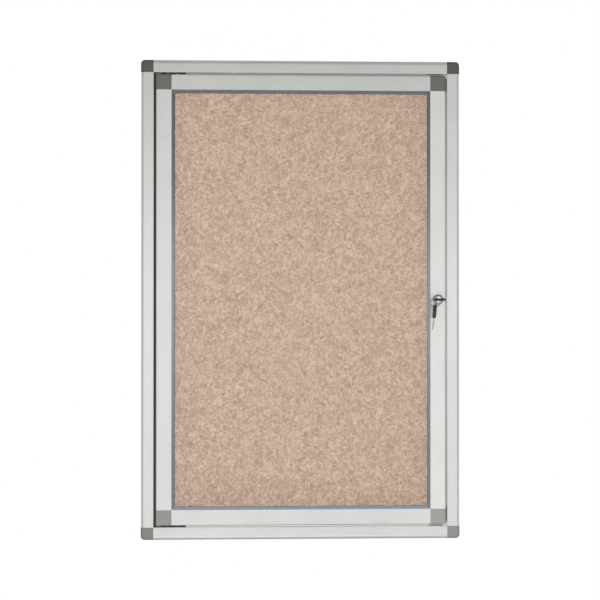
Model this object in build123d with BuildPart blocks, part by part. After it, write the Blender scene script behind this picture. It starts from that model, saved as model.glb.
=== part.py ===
from build123d import *
import os

# Lockable notice board display case for a wall: an aluminium case with a pin board in its back,
# and a glazed door on two pivots that a cam lock holds shut.
# Millimetres. X runs to the right and Z up, Y runs back to the wall, which is at Y = 0.
# "across" is measured inward from a frame's outer edge, "deep" back from the case's front face.

# Whole case
CASE_WIDTH = 600.0
CASE_HEIGHT = 900.0

# Case extrusion: a rounded front, a set-back inner lip, a fin behind the door, a channel for the panel
CASE_FACE = 24.0
LIP_FACE = 1.5
LIP_STEP = 0.8
CASE_WALL = 1.5
CASE_EDGE_RADIUS = 7.5
FIN_REACH = 8.5
CONNECTOR_CHAMBER = 15.0
REAR_LIP_REACH = 12.0

# Push-fit legs of the plastic corners
LEG_LENGTH = 22.0
LEG_CLEARANCE = 0.25
LEG_LEAD = 1.0
LEG_SHELL = 2.5
LEG_CORE_DEPTH = 16.0

# Panel in the back of the case, and the sleeves of its wall fixings
FELT_THICKNESS = 1.5
BOARD_THICKNESS = 11.0
SHEET_THICKNESS = 1.0
PANEL_EDGE_GAP = 1.5
LOCK_TO_FELT = 3.9
FIXING_INSET = 44.0
FIXING_BORE_RADIUS = 3.0
SLEEVE_RADIUS = 4.5
SLEEVE_CLEARANCE = 0.1
SLEEVE_FLANGE_RADIUS = 8.0
SLEEVE_FLANGE = 1.5

# Gaps round the door
HINGE_GAP = 4.2
LOCK_GAP = 2.4
END_GAP = 3.0

# Door extrusion: a box with two glazing flanges on its inner side
DOOR_FACE = 29.4
DOOR_DEPTH = 18.0
DOOR_WALL = 1.6
DOOR_EDGE_RADIUS = 3.0
DOOR_BACK_RADIUS = 1.0
FLANGE_REACH = 6.0

# Glazing pane and its U-shaped seal
PANE_THICKNESS = 3.0
PANE_EDGE_GAP = 0.3
SEAL_FRONT_LIP = 2.0
SEAL_REAR_LIP = 2.2
SEAL_WEB = 1.7
SEAL_EDGE_GAP = 0.2
SEAL_SHOW = 5.5
SEAL_REAR_SHOW = 3.0
SEAL_NOSE_RADIUS = 1.4

# Soft buffers on the fin of the lock side
BUFFER_RADIUS = 2.5
BUFFER_THICKNESS = 2.0
BUFFER_INSET = 60.0

# Rubber strip on the fin of the hinge side
STRIP_THICKNESS = 3.0
STRIP_CLEARANCE = 0.8
STRIP_ROUND = 1.2

# Pivot hinges
PIVOT_INSET = 6.0
PIVOT_SETBACK = 7.75
PLATE_LENGTH = 56.0
PLATE_WIDTH = 12.0
PLATE_THICKNESS = 1.6
PLATE_END = 6.5
PLATE_CORNER = 2.0
PIN_RADIUS = 2.0
PIN_REACH = 12.0
PIN_CHAMFER = 0.5
PIN_CLEARANCE = 0.06
BUSH_RADIUS = 3.4
BUSH_FLANGE_RADIUS = 4.8
BUSH_FIT = 0.02
BUSH_LENGTH = 13.0
TOP_BUSH_FREEDOM = 0.4
SCREW_FIRST = 16.5
SCREW_PITCH = 17.5
SCREW_COUNT = 2
SCREW_RADIUS = 1.5
SCREW_LENGTH = 9.0
SCREW_HEAD_RADIUS = 3.0
SCREW_HEAD = 0.9
SCREW_CLEARANCE = 0.05

# Cam lock
BEZEL_RADIUS = 10.0
BEZEL_PROUD = 3.5
BEZEL_ROUND = 3.0
BARREL_RADIUS = 6.0
BARREL_FLATS = 10.4
BARREL_CLEARANCE = 0.15
BARREL_TAIL = 3.5
NUT_ACROSS_FLATS = 15.0
NUT_THICKNESS = 3.0
PLUG_RADIUS = 4.4
PLUG_HEAD_RADIUS = 5.2
PLUG_HEAD = 1.5
PLUG_SUNK = 0.5
PLUG_CLEARANCE = 0.05
PLUG_SQUARE = 5.0
PLUG_TAIL = 0.4
CAM_THICKNESS = 2.0
CAM_WIDTH = 12.0
CAM_REACH = 16.0
CAM_CORNER = 2.0
CAM_CLEARANCE = 0.05
CAM_SCREW_RADIUS = 1.5
CAM_SCREW_LENGTH = 5.5
CAM_SCREW_HEAD_RADIUS = 3.6
CAM_SCREW_HEAD = 2.2

# Keys: a moulded head round a flat blade that is cut on both edges
HEAD_WIDTH = 22.0
HEAD_LENGTH = 26.0
HEAD_THICKNESS = 4.4
HEAD_CORNER = 6.5
HEAD_ROUND = 1.3
HEAD_END_WEB = 4.0
HEAD_SIDE_WEB = 4.0
HEAD_SLOT_LENGTH = 6.0
HEAD_SLOT_CORNER = 2.0
NECK = 2.0
TANG = 11.0
BLADE_WIDTH = 6.4
BLADE_THICKNESS = 2.0
BLADE_LENGTH = 19.5
BLADE_POINT = 2.2
BIT_COUNT = 4
BIT_FIRST = 3.0
BIT_PITCH = 3.6
BIT_STEP = 0.45
KEYWAY_CLEARANCE = 0.15
KEYWAY_SPARE = 0.5

# Key ring, hung on the side of the first key's head, with the spare key leaning on it
RING_BORE_RADIUS = 8.0
RING_WIRE_RADIUS = 0.8
RING_SLACK = 2.77
SPARE_KEY_SLACK = 0.3
SPARE_KEY_LEAN = 5.0

# Places worked out from the sizes above
HALF_WIDTH = CASE_WIDTH / 2
HALF_HEIGHT = CASE_HEIGHT / 2
LIP_EDGE = CASE_FACE - LIP_FACE
CASE_FRONT_WALL = CASE_WALL + LIP_STEP
FIN_EDGE = CASE_FACE + FIN_REACH
FIN_DEEP = DOOR_DEPTH + BUFFER_THICKNESS
BUFFER_ACROSS = (CASE_FACE + LOCK_GAP + FIN_EDGE) / 2
BARREL_END = DOOR_DEPTH + BARREL_TAIL
PLUG_FACE = PLUG_SUNK - BEZEL_PROUD
PLUG_SEAT = PLUG_FACE + PLUG_HEAD
PLUG_SHOULDER = BARREL_END + PLUG_TAIL
PLUG_END = PLUG_SHOULDER + CAM_THICKNESS
PANEL_THICKNESS = FELT_THICKNESS + BOARD_THICKNESS + SHEET_THICKNESS
PANEL_DEEP = PLUG_END + CAM_SCREW_HEAD + LOCK_TO_FELT
REAR_LIP_DEEP = PANEL_DEEP + PANEL_THICKNESS
CASE_DEPTH = REAR_LIP_DEEP + CASE_WALL
FRONT = -CASE_DEPTH
PANEL_EDGE = CASE_WALL + PANEL_EDGE_GAP
FIXING_X = HALF_WIDTH - FIXING_INSET
FIXING_Z = HALF_HEIGHT - FIXING_INSET
DOOR_LEFT = -HALF_WIDTH + CASE_FACE + HINGE_GAP
DOOR_RIGHT = HALF_WIDTH - CASE_FACE - LOCK_GAP
DOOR_TOP = HALF_HEIGHT - CASE_FACE - END_GAP
DOOR_WIDTH = DOOR_RIGHT - DOOR_LEFT
DOOR_HEIGHT = 2 * DOOR_TOP
DOOR_BOX = DOOR_FACE - FLANGE_REACH
SEAL_DEEP = DOOR_WALL
PANE_DEEP = SEAL_DEEP + SEAL_FRONT_LIP
PANE_BACK = PANE_DEEP + PANE_THICKNESS
SEAL_BACK = PANE_BACK + SEAL_REAR_LIP
SEAL_OUTER = DOOR_BOX + SEAL_EDGE_GAP
SEAL_INNER = DOOR_FACE + SEAL_SHOW
SEAL_REAR_INNER = DOOR_FACE + SEAL_REAR_SHOW
PANE_SEAT = SEAL_OUTER + SEAL_WEB
PANE_EDGE = PANE_SEAT + PANE_EDGE_GAP
PIVOT_X = DOOR_LEFT + PIVOT_INSET
PIVOT_Y = FRONT + PIVOT_SETBACK
LOCK_X = DOOR_RIGHT - DOOR_FACE / 2
KEY_END_Y = FRONT + PLUG_FACE - NECK - HEAD_LENGTH
RING_Y = KEY_END_Y + HEAD_END_WEB + HEAD_SLOT_LENGTH / 2
RING_X = LOCK_X - HEAD_WIDTH / 2 + HEAD_SIDE_WEB / 2
RING_Z = RING_SLACK - RING_BORE_RADIUS
SPARE_KEY_TOP = RING_Z - RING_BORE_RADIUS + SPARE_KEY_SLACK + HEAD_END_WEB

FROM_CORNER = (Align.MIN, Align.MIN)


def frame_sides(left, right, bottom, top):
    """Planes on the front face for a frame's sides, clockwise from the left: X inward, Y back, Z along."""
    return {
        "left": Plane((left, FRONT, bottom), x_dir=(1, 0, 0), z_dir=(0, 0, 1)),
        "top": Plane((left, FRONT, top), x_dir=(0, 0, -1), z_dir=(1, 0, 0)),
        "right": Plane((right, FRONT, top), x_dir=(-1, 0, 0), z_dir=(0, 0, -1)),
        "bottom": Plane((right, FRONT, bottom), x_dir=(0, 0, 1), z_dir=(-1, 0, 0)),
    }


def plan(side):
    """A frame side's front view: X inward, Y along the side, Z towards the viewer."""
    return Plane(side.origin, x_dir=side.x_dir, z_dir=(0, -1, 0))


def facing(x, z, deep):
    """A plane seen from the front at x and z, so many millimetres behind the case's front face."""
    return Plane((x, FRONT + deep, z), x_dir=(1, 0, 0), z_dir=(0, -1, 0))


def write(piece, label):
    """Labels a finished piece and writes it as the node of that name."""
    piece.part.label = label
    export_step(piece.part, f"parts/{label}.step")


os.makedirs("parts", exist_ok=True)
case_sides = frame_sides(-HALF_WIDTH, HALF_WIDTH, -HALF_HEIGHT, HALF_HEIGHT)
door_sides = frame_sides(DOOR_LEFT, DOOR_RIGHT, -DOOR_TOP, DOOR_TOP)
case_lengths = {"left": CASE_HEIGHT, "top": CASE_WIDTH, "right": CASE_HEIGHT, "bottom": CASE_WIDTH}
door_lengths = {"left": DOOR_HEIGHT, "top": DOOR_WIDTH, "right": DOOR_HEIGHT, "bottom": DOOR_WIDTH}
corner_sides = {
    "top_left": ("left", "top"),
    "top_right": ("top", "right"),
    "bottom_right": ("right", "bottom"),
    "bottom_left": ("bottom", "left"),
}

# Each hinge's plane lies on the case's inner wall at the pivot and points at the door
hinge_planes = {
    "top": Plane((PIVOT_X, PIVOT_Y, HALF_HEIGHT - CASE_FACE), x_dir=(1, 0, 0), z_dir=(0, 0, -1)),
    "bottom": Plane((PIVOT_X, PIVOT_Y, CASE_FACE - HALF_HEIGHT), x_dir=(1, 0, 0), z_dir=(0, 0, 1)),
}
screw_places = [(SCREW_FIRST + number * SCREW_PITCH, 0) for number in range(SCREW_COUNT)]


def chamber_section(plane, origin, width, deep, corner_radius):
    """A rectangle from its outer front corner inward and back, with that corner rounded."""
    with BuildSketch(plane) as section:
        with Locations(origin):
            Rectangle(width, deep, align=FROM_CORNER)
        fillet(section.vertices().sort_by_distance(origin)[0], corner_radius)
    return section.sketch


def leg_starts(sides, lengths, place, face):
    """Where a corner's two legs start and which way they run: back along one side, on along the next."""
    before, after = corner_sides[place]
    return [(sides[before].offset(lengths[before] - face), -1), (sides[after].offset(face), 1)]


def add_legs(body, starts, chamber, width, deep, corner_radius):
    """Gives a moulded corner its cored legs, which slide into the chambers of the two sides."""
    leg_origin = (chamber[0] + LEG_CLEARANCE, chamber[1] + LEG_CLEARANCE)
    core_origin = (leg_origin[0] + LEG_SHELL, leg_origin[1] + LEG_SHELL)
    leg_width = width - 2 * LEG_CLEARANCE
    leg_deep = deep - 2 * LEG_CLEARANCE
    with BuildPart() as corner:
        add(body.part)
        for plane, way in starts:
            section = chamber_section(plane, leg_origin, leg_width, leg_deep, corner_radius - LEG_CLEARANCE)
            extrude(section, amount=way * LEG_LENGTH)
            tip = corner.faces().sort_by(Axis(plane.origin, plane.z_dir * way))[-1]
            chamfer(tip.edges(), LEG_LEAD)
            with BuildSketch(plane.offset(way * LEG_LENGTH)):
                with Locations(core_origin):
                    Rectangle(leg_width - 2 * LEG_SHELL, leg_deep - 2 * LEG_SHELL, align=FROM_CORNER)
            extrude(amount=-way * LEG_CORE_DEPTH, mode=Mode.SUBTRACT)
    return corner


# Case frame


def case_profile(side):
    """The case extrusion's section, with a front chamber for the corner legs and one behind it."""
    chamber_width = CASE_FACE - 2 * CASE_WALL
    front_chamber = chamber_section(
        Plane.XY,
        (CASE_WALL, CASE_FRONT_WALL),
        chamber_width,
        CONNECTOR_CHAMBER - CASE_FRONT_WALL,
        CASE_EDGE_RADIUS - CASE_WALL,
    )
    rear_chamber = CONNECTOR_CHAMBER + CASE_WALL
    with BuildSketch(side) as profile:
        with BuildLine():
            Polyline(
                (0, 0),
                (LIP_EDGE, 0),
                (LIP_EDGE, LIP_STEP),
                (CASE_FACE, LIP_STEP),
                (CASE_FACE, FIN_DEEP),
                (FIN_EDGE, FIN_DEEP),
                (FIN_EDGE, FIN_DEEP + CASE_WALL),
                (CASE_FACE, FIN_DEEP + CASE_WALL),
                (CASE_FACE, PANEL_DEEP),
                (CASE_WALL, PANEL_DEEP),
                (CASE_WALL, REAR_LIP_DEEP),
                (REAR_LIP_REACH, REAR_LIP_DEEP),
                (REAR_LIP_REACH, CASE_DEPTH),
                (0, CASE_DEPTH),
                close=True,
            )
        make_face()
        fillet(profile.vertices().sort_by_distance((0, 0))[0], CASE_EDGE_RADIUS)
        add(front_chamber, mode=Mode.SUBTRACT)
        with Locations((CASE_WALL, rear_chamber)):
            Rectangle(
                chamber_width,
                PANEL_DEEP - CASE_WALL - rear_chamber,
                align=FROM_CORNER,
                mode=Mode.SUBTRACT,
            )
    return profile.sketch


def case_member(side, length):
    """One side of the case: cut square at the corner caps, with its fin mitred."""
    with BuildPart() as member:
        extrude(case_profile(side), amount=length)
        with BuildSketch(plan(side)):
            with BuildLine():
                Polyline(
                    (0, CASE_FACE),
                    (CASE_FACE, CASE_FACE),
                    (FIN_EDGE, FIN_EDGE),
                    (FIN_EDGE, length - FIN_EDGE),
                    (CASE_FACE, length - CASE_FACE),
                    (0, length - CASE_FACE),
                    close=True,
                )
            make_face()
        extrude(amount=-CASE_DEPTH, mode=Mode.INTERSECT)
    return member


def case_rail(end):
    """The case's top or bottom rail, with the holes for its hinge's screws."""
    member = case_member(case_sides[end], CASE_WIDTH)
    with BuildPart() as rail:
        add(member.part)
        with BuildSketch(hinge_planes[end]):
            with Locations(*screw_places):
                Circle(SCREW_RADIUS + SCREW_CLEARANCE)
        extrude(amount=-CASE_WALL, mode=Mode.SUBTRACT)
    return rail


def case_corner(place):
    """A plastic cap on a corner of the case, open behind for the panel's corner."""
    outline = plan(case_sides[corner_sides[place][1]])
    with BuildPart() as cap:
        with BuildSketch(outline):
            Rectangle(CASE_FACE, CASE_FACE, align=FROM_CORNER)
        extrude(amount=-CASE_DEPTH)
        fillet(cap.edges().sort_by_distance(outline.origin)[:3], CASE_EDGE_RADIUS)
        with BuildSketch(outline.offset(-PANEL_DEEP)):
            with Locations((CASE_WALL, CASE_WALL)):
                Rectangle(CASE_FACE - CASE_WALL, CASE_FACE - CASE_WALL, align=FROM_CORNER)
        extrude(amount=-PANEL_THICKNESS, mode=Mode.SUBTRACT)
        with BuildSketch(outline.offset(-REAR_LIP_DEEP)):
            with Locations((REAR_LIP_REACH, REAR_LIP_REACH)):
                Rectangle(CASE_FACE - REAR_LIP_REACH, CASE_FACE - REAR_LIP_REACH, align=FROM_CORNER)
        extrude(amount=-CASE_WALL, mode=Mode.SUBTRACT)
    return add_legs(
        cap,
        leg_starts(case_sides, case_lengths, place, CASE_FACE),
        (CASE_WALL, CASE_FRONT_WALL),
        CASE_FACE - 2 * CASE_WALL,
        CONNECTOR_CHAMBER - CASE_FRONT_WALL,
        CASE_EDGE_RADIUS - CASE_WALL,
    )


write(case_rail("top"), "case_top_rail")
write(case_rail("bottom"), "case_bottom_rail")
write(case_member(case_sides["left"], CASE_HEIGHT), "case_hinge_stile")
write(case_member(case_sides["right"], CASE_HEIGHT), "case_lock_stile")
for place in corner_sides:
    write(case_corner(place), f"case_corner_{place}")

with BuildPart() as door_buffers:
    with BuildSketch(facing(HALF_WIDTH - BUFFER_ACROSS, 0, DOOR_DEPTH)):
        with GridLocations(0, DOOR_HEIGHT - 2 * BUFFER_INSET, 1, 2):
            Circle(BUFFER_RADIUS)
    extrude(amount=-BUFFER_THICKNESS)
write(door_buffers, "door_buffers")

# The strip fills the wide gap that the door's heel needs on the hinge side
with BuildPart() as hinge_gap_strip:
    with BuildSketch(case_sides["left"].offset(CASE_FACE)) as strip_section:
        with Locations((CASE_FACE, FIN_DEEP)):
            Rectangle(HINGE_GAP - STRIP_CLEARANCE, STRIP_THICKNESS, align=(Align.MIN, Align.MAX))
        inner_edge = (CASE_FACE + HINGE_GAP, FIN_DEEP - STRIP_THICKNESS)
        fillet(strip_section.vertices().sort_by_distance(inner_edge)[0], STRIP_ROUND)
    extrude(amount=CASE_HEIGHT - 2 * CASE_FACE)
write(hinge_gap_strip, "hinge_gap_strip")


# Panel in the back of the case


def panel_layer(deep, thickness):
    """One layer of the panel, with the holes for the wall-fixing sleeves."""
    with BuildPart() as layer:
        with BuildSketch(facing(0, 0, deep)):
            Rectangle(CASE_WIDTH - 2 * PANEL_EDGE, CASE_HEIGHT - 2 * PANEL_EDGE)
            with GridLocations(2 * FIXING_X, 2 * FIXING_Z, 2, 2):
                Circle(SLEEVE_RADIUS + SLEEVE_CLEARANCE, mode=Mode.SUBTRACT)
        extrude(amount=-thickness)
    return layer


write(panel_layer(PANEL_DEEP, FELT_THICKNESS), "felt_facing")
write(panel_layer(PANEL_DEEP + FELT_THICKNESS, BOARD_THICKNESS), "pin_board")
write(panel_layer(REAR_LIP_DEEP - SHEET_THICKNESS, SHEET_THICKNESS), "back_sheet")

with BuildPart() as wall_fixing_sleeves:
    with BuildSketch(facing(0, 0, PANEL_DEEP)):
        with GridLocations(2 * FIXING_X, 2 * FIXING_Z, 2, 2):
            Circle(SLEEVE_FLANGE_RADIUS)
            Circle(FIXING_BORE_RADIUS, mode=Mode.SUBTRACT)
    extrude(amount=SLEEVE_FLANGE)
    with BuildSketch(facing(0, 0, PANEL_DEEP)):
        with GridLocations(2 * FIXING_X, 2 * FIXING_Z, 2, 2):
            Circle(SLEEVE_RADIUS)
            Circle(FIXING_BORE_RADIUS, mode=Mode.SUBTRACT)
    extrude(amount=-(CASE_DEPTH - PANEL_DEEP))
write(wall_fixing_sleeves, "wall_fixing_sleeves")


# Door frame


def door_profile(side):
    """The door extrusion's section: a box, and two flanges that hold the glazing seal between them."""
    chamber = chamber_section(
        Plane.XY,
        (DOOR_WALL, DOOR_WALL),
        DOOR_BOX - 2 * DOOR_WALL,
        DOOR_DEPTH - 2 * DOOR_WALL,
        DOOR_EDGE_RADIUS - DOOR_WALL,
    )
    with BuildSketch(side) as profile:
        with BuildLine():
            Polyline(
                (0, 0),
                (DOOR_FACE, 0),
                (DOOR_FACE, DOOR_WALL),
                (DOOR_BOX, DOOR_WALL),
                (DOOR_BOX, SEAL_BACK),
                (DOOR_FACE, SEAL_BACK),
                (DOOR_FACE, SEAL_BACK + DOOR_WALL),
                (DOOR_BOX, SEAL_BACK + DOOR_WALL),
                (DOOR_BOX, DOOR_DEPTH),
                (0, DOOR_DEPTH),
                close=True,
            )
        make_face()
        fillet(profile.vertices().sort_by_distance((0, 0))[0], DOOR_EDGE_RADIUS)
        fillet(profile.vertices().sort_by_distance((0, DOOR_DEPTH))[0], DOOR_BACK_RADIUS)
        add(chamber, mode=Mode.SUBTRACT)
    return profile.sketch


def door_member(name):
    """One side of the door, cut square between its corner pieces."""
    with BuildPart() as member:
        extrude(door_profile(door_sides[name].offset(DOOR_FACE)), amount=door_lengths[name] - 2 * DOOR_FACE)
    return member


def barrel_section(plane, clearance):
    """The lock barrel's round section with two flats, let out by a clearance."""
    with BuildSketch(plane) as section:
        Circle(BARREL_RADIUS + clearance)
        Rectangle(3 * BARREL_RADIUS, BARREL_FLATS + 2 * clearance, mode=Mode.INTERSECT)
    return section.sketch


def door_corner(place):
    """A moulded corner piece of the door, with room behind its face for the glazing seal."""
    outline = plan(door_sides[corner_sides[place][1]])
    rear_pocket = SEAL_BACK + DOOR_WALL
    with BuildPart() as block:
        with BuildSketch(outline):
            Rectangle(DOOR_FACE, DOOR_FACE, align=FROM_CORNER)
        extrude(amount=-DOOR_DEPTH)
        fillet(block.edges().sort_by_distance(outline.origin)[:3], DOOR_EDGE_RADIUS)
        back_corner = outline.offset(-DOOR_DEPTH).origin
        fillet(block.edges().group_by(Axis.Y)[-1].sort_by_distance(back_corner)[:3], DOOR_BACK_RADIUS)
        with BuildSketch(outline.offset(-DOOR_WALL)):
            with Locations((DOOR_BOX, DOOR_BOX)):
                Rectangle(FLANGE_REACH, FLANGE_REACH, align=FROM_CORNER)
        extrude(amount=DOOR_WALL - SEAL_BACK, mode=Mode.SUBTRACT)
        with BuildSketch(outline.offset(-rear_pocket)):
            with Locations((DOOR_BOX, DOOR_BOX)):
                Rectangle(FLANGE_REACH, FLANGE_REACH, align=FROM_CORNER)
        extrude(amount=rear_pocket - DOOR_DEPTH, mode=Mode.SUBTRACT)
    return add_legs(
        block,
        leg_starts(door_sides, door_lengths, place, DOOR_FACE),
        (DOOR_WALL, DOOR_WALL),
        DOOR_BOX - 2 * DOOR_WALL,
        DOOR_DEPTH - 2 * DOOR_WALL,
        DOOR_EDGE_RADIUS - DOOR_WALL,
    )


def hinge_corner(end):
    """A corner piece on the hinge side of the door, bored for its bush."""
    corner = door_corner(f"{end}_left")
    with BuildPart() as bored:
        add(corner.part)
        with BuildSketch(hinge_planes[end].offset(END_GAP)):
            Circle(BUSH_RADIUS + BUSH_FIT)
        extrude(amount=BUSH_LENGTH, mode=Mode.SUBTRACT)
    return bored


write(door_member("top"), "door_top_rail")
write(door_member("bottom"), "door_bottom_rail")
write(door_member("left"), "door_hinge_stile")
plain_lock_stile = door_member("right")
with BuildPart() as door_lock_stile:
    add(plain_lock_stile.part)
    extrude(barrel_section(facing(LOCK_X, 0, 0), BARREL_CLEARANCE), amount=-DOOR_DEPTH, mode=Mode.SUBTRACT)
write(door_lock_stile, "door_lock_stile")
for end in hinge_planes:
    write(hinge_corner(end), f"door_corner_{end}_left")
    write(door_corner(f"{end}_right"), f"door_corner_{end}_right")


# Glazing


def glazing_seal(name):
    """One side of the seal: a U round the pane's edge, mitred at both ends."""
    side = door_sides[name]
    length = door_lengths[name]
    with BuildPart() as seal:
        with BuildSketch(side) as section:
            with BuildLine():
                Polyline(
                    (SEAL_OUTER, SEAL_DEEP),
                    (SEAL_INNER, SEAL_DEEP),
                    (SEAL_INNER, PANE_DEEP),
                    (PANE_SEAT, PANE_DEEP),
                    (PANE_SEAT, PANE_BACK),
                    (SEAL_REAR_INNER, PANE_BACK),
                    (SEAL_REAR_INNER, SEAL_BACK),
                    (SEAL_OUTER, SEAL_BACK),
                    close=True,
                )
            make_face()
            fillet(section.vertices().sort_by_distance((SEAL_INNER, SEAL_DEEP))[0], SEAL_NOSE_RADIUS)
            fillet(section.vertices().sort_by_distance((SEAL_REAR_INNER, SEAL_BACK))[0], SEAL_NOSE_RADIUS)
        extrude(amount=length)
        with BuildSketch(plan(side)):
            with BuildLine():
                Polyline(
                    (SEAL_OUTER, SEAL_OUTER),
                    (SEAL_INNER, SEAL_INNER),
                    (SEAL_INNER, length - SEAL_INNER),
                    (SEAL_OUTER, length - SEAL_OUTER),
                    close=True,
                )
            make_face()
        extrude(amount=-DOOR_DEPTH, mode=Mode.INTERSECT)
    return seal


for name in door_sides:
    write(glazing_seal(name), f"glazing_seal_{name}")

with BuildPart() as glazing_pane:
    with BuildSketch(facing((DOOR_LEFT + DOOR_RIGHT) / 2, 0, PANE_DEEP)):
        Rectangle(DOOR_WIDTH - 2 * PANE_EDGE, DOOR_HEIGHT - 2 * PANE_EDGE)
    extrude(amount=-PANE_THICKNESS)
write(glazing_pane, "glazing_pane")


# Hinges


def hinge_plate(end):
    """The flat plate on the case that carries a pivot pin."""
    with BuildPart() as plate:
        with BuildSketch(hinge_planes[end]):
            with Locations((PLATE_LENGTH / 2 - PLATE_END, 0)):
                RectangleRounded(PLATE_LENGTH, PLATE_WIDTH, PLATE_CORNER)
            Circle(PIN_RADIUS, mode=Mode.SUBTRACT)
            with Locations(*screw_places):
                Circle(SCREW_RADIUS + SCREW_CLEARANCE, mode=Mode.SUBTRACT)
        extrude(amount=PLATE_THICKNESS)
    return plate


def hinge_bush(end, flange):
    """The flanged bush in the door that turns on a pivot pin."""
    door_end = hinge_planes[end].offset(END_GAP)
    with BuildPart() as bush:
        with BuildSketch(door_end):
            Circle(BUSH_RADIUS)
            Circle(PIN_RADIUS + PIN_CLEARANCE, mode=Mode.SUBTRACT)
        extrude(amount=BUSH_LENGTH)
        with BuildSketch(door_end):
            Circle(BUSH_FLANGE_RADIUS)
            Circle(PIN_RADIUS + PIN_CLEARANCE, mode=Mode.SUBTRACT)
        extrude(amount=-flange)
    return bush


write(hinge_plate("top"), "top_hinge_plate")
write(hinge_plate("bottom"), "bottom_hinge_plate")
write(hinge_bush("top", END_GAP - PLATE_THICKNESS - TOP_BUSH_FREEDOM), "top_hinge_bush")
write(hinge_bush("bottom", END_GAP - PLATE_THICKNESS), "bottom_hinge_bush")

with BuildPart() as hinge_pins:
    for plane in hinge_planes.values():
        with BuildSketch(plane):
            Circle(PIN_RADIUS)
        extrude(amount=END_GAP + PIN_REACH)
        tip = hinge_pins.faces().sort_by_distance(plane.offset(END_GAP + PIN_REACH).origin)[0]
        chamfer(tip.edges(), PIN_CHAMFER)
write(hinge_pins, "hinge_pins")

with BuildPart() as hinge_screws:
    for plane in hinge_planes.values():
        with BuildSketch(plane.offset(PLATE_THICKNESS)):
            with Locations(*screw_places):
                Circle(SCREW_HEAD_RADIUS)
        extrude(amount=SCREW_HEAD)
        with BuildSketch(plane.offset(PLATE_THICKNESS)):
            with Locations(*screw_places):
                Circle(SCREW_RADIUS)
        extrude(amount=-SCREW_LENGTH)
write(hinge_screws, "hinge_screws")

# Cam lock
with BuildPart() as lock_body:
    extrude(barrel_section(facing(LOCK_X, 0, 0), 0), amount=-BARREL_END)
    with BuildSketch(facing(LOCK_X, 0, 0)):
        Circle(BEZEL_RADIUS)
    extrude(amount=BEZEL_PROUD)
    fillet(lock_body.edges().sort_by(Axis.Y)[0], BEZEL_ROUND)
    with BuildSketch(facing(LOCK_X, 0, -BEZEL_PROUD)):
        Circle(PLUG_RADIUS + PLUG_CLEARANCE)
    extrude(amount=-(BEZEL_PROUD + BARREL_END), mode=Mode.SUBTRACT)
    with BuildSketch(facing(LOCK_X, 0, -BEZEL_PROUD)):
        Circle(PLUG_HEAD_RADIUS + PLUG_CLEARANCE)
    extrude(amount=-(BEZEL_PROUD + PLUG_SEAT), mode=Mode.SUBTRACT)
write(lock_body, "lock_body")

with BuildPart() as lock_nut:
    with BuildSketch(facing(LOCK_X, 0, DOOR_DEPTH)):
        RegularPolygon(NUT_ACROSS_FLATS / 2, 6, major_radius=False, rotation=30)
        Circle(BARREL_RADIUS, mode=Mode.SUBTRACT)
    extrude(amount=-NUT_THICKNESS)
write(lock_nut, "lock_nut")

with BuildPart() as lock_plug:
    with BuildSketch(facing(LOCK_X, 0, PLUG_FACE)):
        Circle(PLUG_HEAD_RADIUS)
    extrude(amount=-PLUG_HEAD)
    with BuildSketch(facing(LOCK_X, 0, PLUG_SEAT)):
        Circle(PLUG_RADIUS)
    extrude(amount=PLUG_SEAT - PLUG_SHOULDER)
    with BuildSketch(facing(LOCK_X, 0, PLUG_SHOULDER)):
        Rectangle(PLUG_SQUARE, PLUG_SQUARE)
    extrude(amount=-CAM_THICKNESS)
    with BuildSketch(facing(LOCK_X, 0, PLUG_FACE)):
        Rectangle(BLADE_WIDTH + 2 * KEYWAY_CLEARANCE, BLADE_THICKNESS + 2 * KEYWAY_CLEARANCE)
    extrude(amount=-(BLADE_LENGTH + KEYWAY_SPARE), mode=Mode.SUBTRACT)
    with BuildSketch(facing(LOCK_X, 0, PLUG_END)):
        Circle(CAM_SCREW_RADIUS)
    extrude(amount=CAM_SCREW_LENGTH, mode=Mode.SUBTRACT)
write(lock_plug, "lock_plug")

with BuildPart() as lock_cam:
    with BuildSketch(facing(LOCK_X, 0, PLUG_SHOULDER)):
        with Locations((0, (CAM_WIDTH / 2 - CAM_REACH) / 2)):
            RectangleRounded(CAM_WIDTH, CAM_REACH + CAM_WIDTH / 2, CAM_CORNER)
        Rectangle(
            PLUG_SQUARE + 2 * CAM_CLEARANCE, PLUG_SQUARE + 2 * CAM_CLEARANCE, mode=Mode.SUBTRACT
        )
    extrude(amount=-CAM_THICKNESS)
write(lock_cam, "lock_cam")

with BuildPart() as cam_screw:
    with BuildSketch(facing(LOCK_X, 0, PLUG_END)):
        Circle(CAM_SCREW_HEAD_RADIUS)
    extrude(amount=-CAM_SCREW_HEAD)
    with BuildSketch(facing(LOCK_X, 0, PLUG_END)):
        Circle(CAM_SCREW_RADIUS)
    extrude(amount=CAM_SCREW_LENGTH)
write(cam_screw, "cam_screw")


# Keys


def key_head(plane):
    """A key's moulded head on a plane whose Y runs from the head's far end to the blade's tip."""
    with BuildPart() as head:
        with BuildSketch(plane):
            with Locations((0, HEAD_LENGTH / 2)):
                RectangleRounded(HEAD_WIDTH, HEAD_LENGTH, HEAD_CORNER)
            with Locations((0, HEAD_END_WEB + HEAD_SLOT_LENGTH / 2)):
                RectangleRounded(
                    HEAD_WIDTH - 2 * HEAD_SIDE_WEB, HEAD_SLOT_LENGTH, HEAD_SLOT_CORNER, mode=Mode.SUBTRACT
                )
        extrude(amount=HEAD_THICKNESS / 2, both=True)
        faces = head.faces().sort_by(Axis(plane.origin, plane.z_dir))
        fillet(faces[0].edges() + faces[-1].edges(), HEAD_ROUND)
        with BuildSketch(plane):
            with Locations((0, HEAD_LENGTH - TANG)):
                Rectangle(BLADE_WIDTH, TANG, align=(Align.CENTER, Align.MIN))
        extrude(amount=BLADE_THICKNESS / 2, both=True, mode=Mode.SUBTRACT)
    return head


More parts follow.
